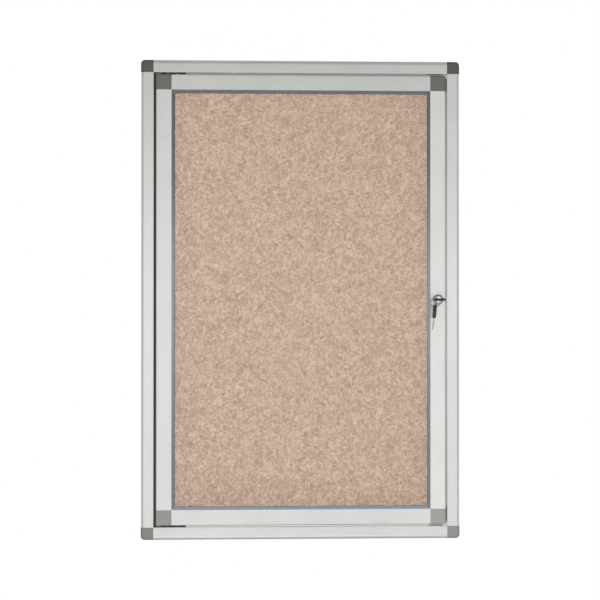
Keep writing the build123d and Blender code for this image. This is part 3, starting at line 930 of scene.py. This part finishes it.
@dataclass
class CaseFrame(ExtrudedFrame):
    """The case, with its corner caps, the rubber that the door meets and a black strip that paints the
    shade in the hinge-side gap.
    """

    kind: str = "case"
    corner_finish: str = "case_cap"
    stile_roughness: float = 0.34
    # One plastic at every corner; the greys carry painted shade: upper caps darker than lower, lower left
    # darker than lower right.
    corners: Mapping[str, Colour] = field(
        default_factory=lambda: {
            "top_left": (0.068, 0.065, 0.06),
            "top_right": (0.067, 0.063, 0.057),
            "bottom_right": (0.218, 0.217, 0.203),
            "bottom_left": (0.173, 0.171, 0.161),
        }
    )
    rubber: Colour = (0.036, 0.034, 0.033)

    def build(self) -> None:
        """Dresses the frame, the rubber buffers and the black strip that stands in for the shade in the
        hinge gap.
        """
        super().build()
        rubber = MouldedPlastic("black_rubber_and_gap_shade", self.rubber, roughness=0.75)
        # Painted shade: the strip in the hinge gap is black so that the gap shows as deep shade; the
        # buffers are real rubber.
        dress(rubber, "door_buffers", "hinge_gap_strip")


@dataclass
class DoorFrame(ExtrudedFrame):
    """The door: shallower extrusions, with stiles painted a little paler than the rails, the lock stile
    more than the hinge stile, as painted light.
    """

    kind: str = "door"
    corner_finish: str = "door_corner"
    stile_roughness: float = 0.4
    # One plastic at every corner; the greys carry painted shade: upper corners darker than lower, lower
    # left darker than lower right.
    corners: Mapping[str, Colour] = field(
        default_factory=lambda: {
            "top_left": (0.104, 0.1, 0.092),
            "top_right": (0.102, 0.1, 0.092),
            "bottom_right": (0.263, 0.266, 0.249),
            "bottom_left": (0.214, 0.217, 0.201),
        }
    )
    # Painted light: the stiles' greys are raised above the rails', the lock stile's most, for how light
    # falls on them.
    hinge_side: Colour = (0.885, 0.885, 0.873)
    lock_side: Colour = (0.925, 0.925, 0.913)


@dataclass
class Glazing:
    """The pane and the seal round it."""

    seal: Colour = (0.185, 0.228, 0.265)

    def build(self) -> None:
        """Dresses the pane and the four lengths of seal."""
        dress(ClearPane("clear_pane"), "glazing_pane")
        # upper and lower set how strongly painted shade darkens each seal above and below the middle of the
        # case.
        across = SealRubber("seal_across", Along.X, self.seal, upper=0.66, lower=0.0)
        upright = SealRubber("seal_upright", Along.Z, self.seal, upper=0.8, lower=0.45)
        dress(across, "glazing_seal_top", "glazing_seal_bottom")
        dress(upright, "glazing_seal_left", "glazing_seal_right")


@dataclass
class PinPanel:
    """The panel: felt on softboard on a galvanised sheet, with sleeved holes for the wall fixings."""

    cell: float = 5.0 * MM
    lump: float = 0.35 * MM
    lump_share: float = 0.6
    lump_pitch: float = 9.0 * MM
    fine_share: float = 0.5
    fine_pitch: float = 0.45
    sleeve_flange: float = 8.0 * MM
    hole_clear: float = 5.5 * MM
    fibre_seed: int = 7
    fibre_count: int = 2600
    fibre_bends: int = 4
    fibre_radius: float = 0.07 * MM
    fibre_length: float = 13.0 * MM
    length_spread: tuple[float, float] = (0.5, 1.4)
    end_lift: float = 0.5
    lift_spread: tuple[float, float] = (1.2, 4.0)
    wander: float = 0.55
    nylon: Colour = (0.62, 0.61, 0.57)

    def build(self) -> None:
        """Builds the felt and its loose fibres, and dresses the rest."""
        felt = self._felt()
        fibres = self._fibres()
        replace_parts(felt, "felt_facing")
        dress(SoftBoard("softboard"), "pin_board")
        dress(GalvanisedSheet("galvanised_sheet"), "back_sheet")
        dress(MouldedPlastic("sleeve_nylon", self.nylon), "wall_fixing_sleeves")

    def _at_fixing(self, place: Vector, fixing: Vector) -> bool:
        """Whether a place on the felt lies in a wall-fixing hole.

        Args:
            place: The place to test.
            fixing: The middle of the fixing at the upper right, which the others mirror.

        Returns:
            True in a hole.
        """
        across = abs(place.x) - fixing.x
        up = abs(place.z) - fixing.z
        return math.hypot(across, up) < self.hole_clear

    def _swell(self, place: Vector) -> float:
        """How far the felt's face stands out at a place, in metres."""
        fine = noise.noise(place / (self.fine_pitch * self.lump_pitch))
        return self.lump * (noise.noise(place / self.lump_pitch) + self.fine_share * fine) * self.lump_share

    def _felt(self) -> bpy.types.Object:
        """The felt: a lumpy sheet with holes at the fixings.

        Returns:
            The felt.
        """
        low, high = (Vector(corner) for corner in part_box("felt_facing"))
        size = high - low
        centre = (low + high) / 2
        shape = bmesh.new()
        bmesh.ops.create_grid(
            shape,
            x_segments=round(size.x / self.cell),
            y_segments=round(size.z / self.cell),
            size=0.5,
            matrix=Matrix.Diagonal((size.x, size.z, 1.0, 1.0)),
        )
        bmesh.ops.rotate(shape, verts=shape.verts, matrix=Matrix.Rotation(math.radians(90.0), 3, "X"))
        bmesh.ops.translate(shape, verts=shape.verts, vec=(centre.x, high.y, centre.z))
        flange = Vector((self.sleeve_flange, 0.0, self.sleeve_flange))
        fixing = Vector(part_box("wall_fixing_sleeves")[1]) - flange
        holes = [face for face in shape.faces if self._at_fixing(face.calc_center_median(), fixing)]
        bmesh.ops.delete(shape, geom=holes, context="FACES")
        bmesh.ops.solidify(shape, geom=shape.faces[:], thickness=size.y)
        front = min(vert.co.y for vert in shape.verts)
        bmesh.ops.translate(shape, verts=shape.verts, vec=(0.0, low.y - front, 0.0))
        for vert in shape.verts:
            inside = min(high.x - abs(vert.co.x), high.z - abs(vert.co.z))
            if vert.co.y < centre.y and inside > self.cell / 2:
                vert.co.y += self._swell(vert.co)
        bmesh.ops.recalc_face_normals(shape, faces=shape.faces)
        felt = make_piece("felt_sheet", shape, NeedledFelt("needled_felt"), Body.CASE)
        felt.data.shade_smooth()
        return felt

    def _fibres(self) -> bpy.types.Object:
        """Loose fibres that lie on the felt.

        Returns:
            The fibres as one piece.
        """
        low, high = (Vector(corner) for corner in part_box("felt_facing"))
        chance = random.Random(self.fibre_seed)
        curve = bpy.data.curves.new("felt_fibre_lines", "CURVE")
        curve.dimensions = "3D"
        curve.bevel_depth = self.fibre_radius
        curve.bevel_resolution = 0
        curve.resolution_u = 2
        edge = 2.0 * self.fibre_length
        for _ in range(self.fibre_count):
            across = chance.uniform(low.x + edge, high.x - edge)
            start = Vector((across, 0.0, chance.uniform(low.z + edge, high.z - edge)))
            heading = chance.uniform(0.0, 2.0 * math.pi)
            length = self.fibre_length * chance.uniform(*self.length_spread)
            spline = curve.splines.new("NURBS")
            spline.points.add(self.fibre_bends)
            for number, point in enumerate(spline.points):
                at_end = number in (0, self.fibre_bends)
                lift = self.fibre_radius * (self.end_lift if at_end else chance.uniform(*self.lift_spread))
                point.co = (start.x, low.y - lift, start.z, 1.0)
                heading += chance.gauss(0.0, self.wander)
                start += Vector((math.cos(heading), 0.0, math.sin(heading))) * (length / self.fibre_bends)
            spline.use_endpoint_u = True
            spline.order_u = 3
        lines = bpy.data.objects.new("felt_fibre_lines", curve)
        mesh = bpy.data.meshes.new_from_object(lines)
        bpy.data.objects.remove(lines)
        bpy.data.curves.remove(curve)
        shape = bmesh.new()
        shape.from_mesh(mesh)
        bpy.data.meshes.remove(mesh)
        return make_piece("felt_fibres", shape, FeltFibre("felt_fibre"), Body.CASE)


@dataclass
class CrossScrew:
    """A pan-head screw with a cross recess, made pointing down with its seat at the origin."""

    head_radius: float
    head_height: float
    shank_radius: float
    length: float
    recess_width: float
    thread_pitch: float = 0.7 * MM
    head_round: float = 0.6
    recess_reach: float = 0.62
    recess_depth: float = 0.6
    recess_taper: float = 0.72
    core_share: float = 0.78
    point_share: float = 0.3
    thread_share: float = 0.82
    thread_start: float = 0.9
    thread_foot: float = 0.45
    thread_root: float = 0.8
    head_segments: int = 40
    core_segments: int = 24
    turn_steps: int = 16

    def shape(self) -> bmesh.types.BMesh:
        """The screw, with a domed head and a threaded shank.

        Returns:
            The screw's mesh.
        """
        body = bmesh.new()
        self._head(body)
        self._shank(body)
        bmesh.ops.recalc_face_normals(body, faces=body.faces)
        return body

    def _head(self, body: bmesh.types.BMesh) -> None:
        """Adds the head: a drum, rounded over and recessed by a cross.

        Args:
            body: The mesh to add to.
        """
        head = bmesh.new()
        bmesh.ops.create_circle(head, cap_ends=True, segments=self.head_segments, radius=self.head_radius)
        drawn = bmesh.ops.extrude_face_region(head, geom=head.faces[:])
        top = [item for item in drawn["geom"] if isinstance(item, bmesh.types.BMVert)]
        bmesh.ops.translate(head, verts=top, vec=(0.0, 0.0, self.head_height))
        waist = self.head_height / 2
        bmesh.ops.bevel(
            head,
            geom=[edge for edge in head.edges if all(vert.co.z > waist for vert in edge.verts)],
            offset=self.head_height * self.head_round,
            segments=5,
            profile=0.5,
            affect="EDGES",
            material=-1,
        )
        bmesh.ops.recalc_face_normals(head, faces=head.faces)
        self._recess(head)
        mesh = bpy.data.meshes.new("screw_head")
        head.to_mesh(mesh)
        head.free()
        body.from_mesh(mesh)
        bpy.data.meshes.remove(mesh)

    def _recess(self, head: bmesh.types.BMesh) -> None:
        """Sinks a tapering cross into the head's top face.

        Args:
            head: The head's mesh.
        """
        half = self.recess_width / 2
        reach = self.head_radius * self.recess_reach
        for cut in (half, reach):
            for normal in (Vector((1, 0, 0)), Vector((0, 1, 0))):
                for offset in (-cut, cut):
                    whole = head.verts[:] + head.edges[:] + head.faces[:]
                    bmesh.ops.bisect_plane(head, geom=whole, plane_co=normal * offset, plane_no=normal)
        sunk = []
        for face in head.faces:
            middle = face.calc_center_median()
            near, far = sorted((abs(middle.x), abs(middle.y)))
            on_top = middle.z > self.head_height * 0.5 and face.normal.z > 0.5
            if near < half and far < reach and on_top:
                sunk.append(face)
        drawn = bmesh.ops.extrude_face_region(head, geom=sunk)
        floor = [item for item in drawn["geom"] if isinstance(item, bmesh.types.BMVert)]
        bmesh.ops.delete(head, geom=sunk, context="FACES")
        bmesh.ops.translate(head, verts=floor, vec=(0.0, 0.0, -self.head_height * self.recess_depth))
        bmesh.ops.scale(head, verts=floor, vec=(self.recess_taper, self.recess_taper, 1.0))

    def _shank(self, body: bmesh.types.BMesh) -> None:
        """Adds the shank: a core with a helical thread and a pointed end.

        Args:
            body: The mesh to add to.
        """
        core = self.shank_radius * self.core_share
        bmesh.ops.create_cone(
            body,
            cap_ends=True,
            segments=self.core_segments,
            radius1=core * self.point_share,
            radius2=core,
            depth=self.length,
            matrix=Matrix.Translation((0.0, 0.0, -self.length / 2)),
        )
        turns = (self.length * self.thread_share) / self.thread_pitch
        steps = int(turns * self.turn_steps)
        foot = self.thread_pitch * self.thread_foot
        root = core * self.thread_root
        start = -self.length * self.thread_start
        ridge = [
            body.verts.new((root, 0.0, start - foot)),
            body.verts.new((self.shank_radius, 0.0, start)),
            body.verts.new((root, 0.0, start + foot)),
        ]
        crest = body.faces.new(ridge)
        bmesh.ops.spin(
            body,
            geom=[crest, *crest.edges, *crest.verts],
            cent=(0.0, 0.0, 0.0),
            axis=(0.0, 0.0, 1.0),
            dvec=(0.0, 0.0, self.length * self.thread_share / steps),
            angle=2.0 * math.pi * turns,
            steps=steps,
        )


@dataclass
class Hinges:
    """The two pivot hinges: plates, pins, bushes and their screws."""

    screw: CrossScrew = field(
        default_factory=lambda: CrossScrew(
            head_radius=3.0 * MM,
            head_height=0.9 * MM,
            shank_radius=1.5 * MM,
            length=9.0 * MM,
            recess_width=0.9 * MM,
        )
    )
    first_turn: float = 23.0
    next_turn: float = 41.0
    side_turn: float = 17.0
    steel: Colour = (0.85, 0.845, 0.82)
    nylon: Colour = (0.2, 0.2, 0.19)

    def build(self) -> None:
        """Dresses the plates, pins and bushes, and builds the screws."""
        dress(StovedPaint("black_stoved_paint"), "top_hinge_plate", "bottom_hinge_plate")
        steel = BareMetal("bright_zinc_steel", self.steel, roughness=0.42, scratch=0.6, patch=0.1)
        dress(steel, "hinge_pins")
        nylon = MouldedPlastic("bush_nylon", self.nylon, roughness=0.42)
        dress(nylon, "top_hinge_bush", "bottom_hinge_bush")
        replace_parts(self._screws(steel), "hinge_screws")

    def _screws(self, finish: Finish) -> bpy.types.Object:
        """The four screws, each turned a little differently.

        Args:
            finish: The screws' finish.

        Returns:
            The screws as one piece.
        """
        one = self.screw.shape()
        pattern = bpy.data.meshes.new("hinge_screw_pattern")
        one.to_mesh(pattern)
        one.free()
        low, high = (Vector(corner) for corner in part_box("hinge_screws"))
        centre = (low + high) / 2
        reach = high.x - centre.x - self.screw.head_radius
        seat = high.z - centre.z - self.screw.length
        whole = bmesh.new()
        for side in (1.0, -1.0):
            flip = Matrix.Rotation(math.pi if side > 0 else 0.0, 4, "X")
            for number, along in enumerate((-reach, reach)):
                angle = self.first_turn + self.next_turn * number + self.side_turn * side
                spin = Matrix.Rotation(math.radians(angle), 4, "Z")
                spot = Matrix.Translation(centre + Vector((along, 0.0, side * seat)))
                before = len(whole.verts)
                whole.from_mesh(pattern)
                whole.verts.ensure_lookup_table()
                bmesh.ops.transform(whole, matrix=spot @ flip @ spin, verts=whole.verts[before:])
        bpy.data.meshes.remove(pattern)
        screws = make_piece("hinge_screw_set", whole, finish, Body.CASE)
        shade_smooth(screws)
        return screws


@dataclass
class CamLock:
    """The cam lock: chromed plug in a nickelled body, with its nut, cam and screw behind the door."""

    screw: CrossScrew = field(
        default_factory=lambda: CrossScrew(
            head_radius=3.6 * MM,
            head_height=2.2 * MM,
            shank_radius=1.5 * MM,
            length=5.5 * MM,
            recess_width=1.0 * MM,
        )
    )
    screw_turn: float = 31.0
    chrome: Colour = (0.62, 0.625, 0.63)
    nickel: Colour = (0.42, 0.42, 0.405)
    zinc: Colour = (0.66, 0.65, 0.6)

    def build(self) -> None:
        """Dresses the lock and builds the cam's screw."""
        chrome = BareMetal("lock_chrome", self.chrome, roughness=0.3, scratch=0.35, patch=0.04)
        dress(chrome, "lock_plug")
        nickel = BareMetal("lock_nickel", self.nickel, roughness=0.18, scratch=0.5, patch=0.06)
        dress(nickel, "lock_body")
        steel = BareMetal("cam_zinc_steel", self.zinc, roughness=0.3, scratch=0.7, patch=0.1)
        dress(steel, "lock_nut", "lock_cam")
        shape = self.screw.shape()
        low, high = (Vector(corner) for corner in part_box("cam_screw"))
        centre = (low + high) / 2
        place = Matrix.Translation((centre.x, high.y - self.screw.head_height, centre.z))
        spin = Matrix.Rotation(math.radians(self.screw_turn), 4, "Z")
        turn = Matrix.Rotation(math.radians(-90.0), 4, "X") @ spin
        bmesh.ops.transform(shape, matrix=place @ turn, verts=shape.verts)
        screw = make_piece("cam_fixing_screw", shape, steel, Body.PLUG)
        shade_smooth(screw)
        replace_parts(screw, "cam_screw")


@dataclass
class KeySet:
    """Two keys with moulded heads on a split ring."""

    ring_inner: float = 8.05 * MM
    ring_outer: float = 9.55 * MM
    wire_height: float = 0.37 * MM
    wire_round: float = 0.55
    turns: float = 1.94
    steps: int = 150
    merge: float = 0.001 * MM
    plastic: Colour = (0.012, 0.012, 0.013)
    nickel: Colour = (0.7, 0.64, 0.53)
    steel: Colour = (0.34, 0.34, 0.33)

    def build(self) -> None:
        """Dresses the keys and builds the split ring."""
        head = MouldedPlastic("key_head_plastic", self.plastic, roughness=0.42, grain=0.35 * MM)
        dress(head, "key_head", "spare_key_head")
        nickel = BareMetal("key_nickel", self.nickel, roughness=0.22, scratch=0.8, patch=0.08)
        dress(nickel, "key_blade", "spare_key_blade")
        steel = BareMetal("ring_steel", self.steel, roughness=0.26, scratch=0.7, patch=0.1)
        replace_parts(self._ring(steel), "key_ring")

    def _ring(self, finish: Finish) -> bpy.types.Object:
        """A split ring of nearly two turns of flat wire.

        Args:
            finish: The ring's finish.

        Returns:
            The ring.
        """
        low, high = (Vector(corner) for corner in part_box("key_ring"))
        shape = bmesh.new()
        half = self.wire_height / 2
        middle = (self.ring_inner + self.ring_outer) / 2
        width = self.ring_outer - self.ring_inner
        section = Matrix.Diagonal((width, self.wire_height, 1.0, 1.0))
        bmesh.ops.create_grid(shape, x_segments=1, y_segments=1, size=0.5, matrix=section)
        bmesh.ops.bevel(
            shape,
            geom=shape.verts[:],
            offset=half * self.wire_round,
            segments=3,
            profile=0.5,
            affect="VERTICES",
            material=-1,
        )
        rise = self.wire_height * self.turns
        bmesh.ops.translate(shape, verts=shape.verts, vec=(middle, -rise / 2, 0.0))
        bmesh.ops.spin(
            shape,
            geom=shape.verts[:] + shape.edges[:] + shape.faces[:],
            cent=(0.0, 0.0, 0.0),
            axis=(0.0, 1.0, 0.0),
            dvec=(0.0, rise / self.steps, 0.0),
            angle=2.0 * math.pi * self.turns,
            steps=self.steps,
        )
        bmesh.ops.remove_doubles(shape, verts=shape.verts, dist=self.merge)
        bmesh.ops.translate(shape, verts=shape.verts, vec=(low + high) / 2)
        bmesh.ops.recalc_face_normals(shape, faces=shape.faces)
        ring = make_piece("split_ring", shape, finish, Body.RING)
        shade_smooth(ring)
        return ring


@dataclass
class Studio:
    """The camera, a soft studio and a pale floor."""

    eye: Triple = (-0.0985, -2.55, -0.0165)
    yaw: float = 2.212
    pitch: float = 0.362
    lens: float = 80.11
    sensor: float = 36.0
    nearest: float = 0.05
    farthest: float = 60.0
    lamp_place: Triple = (-0.15, -2.8, 0.03)
    lamp_size: float = 0.3
    lamp_power: float = 77.0
    daylight: float = 0.2
    day_tint: Colour = (1.0, 0.985, 0.97)
    card_width: float = 14.0
    card_depth: float = 10.0
    card_y: float = -1.5
    front_y: float = -6.5
    front_height: float = 7.0
    front_middle: float = 0.6
    ceiling_z: float = 3.8
    ceiling_level: float = 0.4
    side_height: float = 6.0
    side_x: float = 5.2
    side_z: float = 1.0
    left_level: float = 0.45
    right_level: float = 0.5
    floor_z: float = -1.15
    floor_radius: float = 1.9

    def build(self) -> None:
        """Sets the camera, the world, the lamp, the cards and the floor."""
        bpy.context.scene.view_settings.view_transform = "Standard"
        self._camera()
        self._world()
        self._lamp()
        middle, height = self.front_middle, self.front_height
        front = BandedLight("front_card", middle - height / 2, height)
        across = (self.card_width, self.card_depth)
        upright = (self.side_height, self.card_depth)
        sideways = (0.0, 90.0, 0.0)
        self._card(front, (0.0, self.front_y, middle), (90.0, 0.0, 0.0), (self.card_width, height))
        ceiling = FlatLight("ceiling_card", self.ceiling_level)
        left = FlatLight("left_card", self.left_level)
        right = FlatLight("right_card", self.right_level)
        self._card(ceiling, (0.0, self.card_y, self.ceiling_z), (0.0, 0.0, 0.0), across)
        self._card(left, (-self.side_x, self.card_y, self.side_z), sideways, upright)
        self._card(right, (self.side_x, self.card_y, self.side_z), sideways, upright)
        self._floor()

    def _camera(self) -> None:
        """The camera at the photograph's viewpoint."""
        data = bpy.data.cameras.new("viewpoint")
        data.sensor_fit = "HORIZONTAL"
        data.sensor_width = self.sensor
        data.lens = self.lens
        data.clip_start = self.nearest
        data.clip_end = self.farthest
        camera = bpy.data.objects.new("viewpoint", data)
        bpy.context.scene.collection.objects.link(camera)
        camera.location = self.eye
        camera.rotation_euler = Euler((math.radians(90.0 + self.pitch), 0.0, math.radians(-self.yaw)))
        bpy.context.scene.camera = camera

    def _lamp(self) -> None:
        """A soft lamp beside the camera, which faces the object and isn't mirrored in it."""
        data = bpy.data.lights.new("key_lamp", "AREA")
        data.shape = "SQUARE"
        data.size = self.lamp_size
        data.energy = self.lamp_power
        lamp = bpy.data.objects.new("key_lamp", data)
        bpy.context.scene.collection.objects.link(lamp)
        lamp.location = self.lamp_place
        lamp.rotation_euler = (-Vector(self.lamp_place)).to_track_quat("-Z", "Y").to_euler()
        lamp.visible_glossy = False

    def _world(self) -> None:
        """White to the eye and to mirrors, a plain soft light on everything else."""
        world = bpy.data.worlds.new("studio")
        bpy.context.scene.world = world
        world.use_nodes = True
        graph = Graph(world.node_tree, "ShaderNodeOutputWorld")
        kinds = ("Is Camera Ray", "Is Glossy Ray", "Is Transmission Ray")
        camera, glossy, through = (graph.add("ShaderNodeLightPath", out=kind) for kind in kinds)
        seen = camera.at_least(glossy).at_least(through)
        day = {"Color": self.day_tint, "Strength": self.daylight}
        light = graph.add("ShaderNodeBackground", None, day)
        white = graph.add("ShaderNodeBackground", None, {"Color": WHITE, "Strength": 1.0})
        graph.surface(graph.add("ShaderNodeMixShader", None, {0: seen, 1: light, 2: white}))

    @staticmethod
    def _card(light: Finish, place: Triple, turn: Triple, size: tuple[float, float]) -> None:
        """A studio card that only the object's surfaces mirror.

        Args:
            light: Its light, which also names it.
            place: Its centre.
            turn: Its turn in degrees.
            size: Its width and length.
        """
        shape = bmesh.new()
        sheet = Matrix.Diagonal((*size, 1.0, 1.0))
        bmesh.ops.create_grid(shape, x_segments=1, y_segments=1, size=0.5, matrix=sheet)
        angles = Euler(tuple(math.radians(angle) for angle in turn))
        matrix = Matrix.Translation(place) @ angles.to_matrix().to_4x4()
        bmesh.ops.transform(shape, matrix=matrix, verts=shape.verts)
        card = make_object(light.name, shape, light)
        card.visible_camera = False
        card.visible_shadow = False
        card.visible_diffuse = False
        card.visible_transmission = False

    def _floor(self) -> None:
        """The pale floor under the object."""
        shape = bmesh.new()
        bmesh.ops.create_circle(
            shape,
            cap_ends=True,
            segments=96,
            radius=self.floor_radius,
            matrix=Matrix.Translation((0.0, 0.0, self.floor_z)),
        )
        make_object("pale_floor", shape, PaleFloor("pale_floor", self.floor_radius))


def main() -> None:
    """Builds each sub-assembly in turn and the studio round them."""
    logging.basicConfig(level=logging.INFO, format="%(name)s: %(message)s")
    for part in (Studio, CaseFrame, DoorFrame, Glazing, PinPanel, Hinges, CamLock, KeySet):
        LOG.info("building %s", part.__name__)
        part().build()


if __name__ == "__main__":
    main()
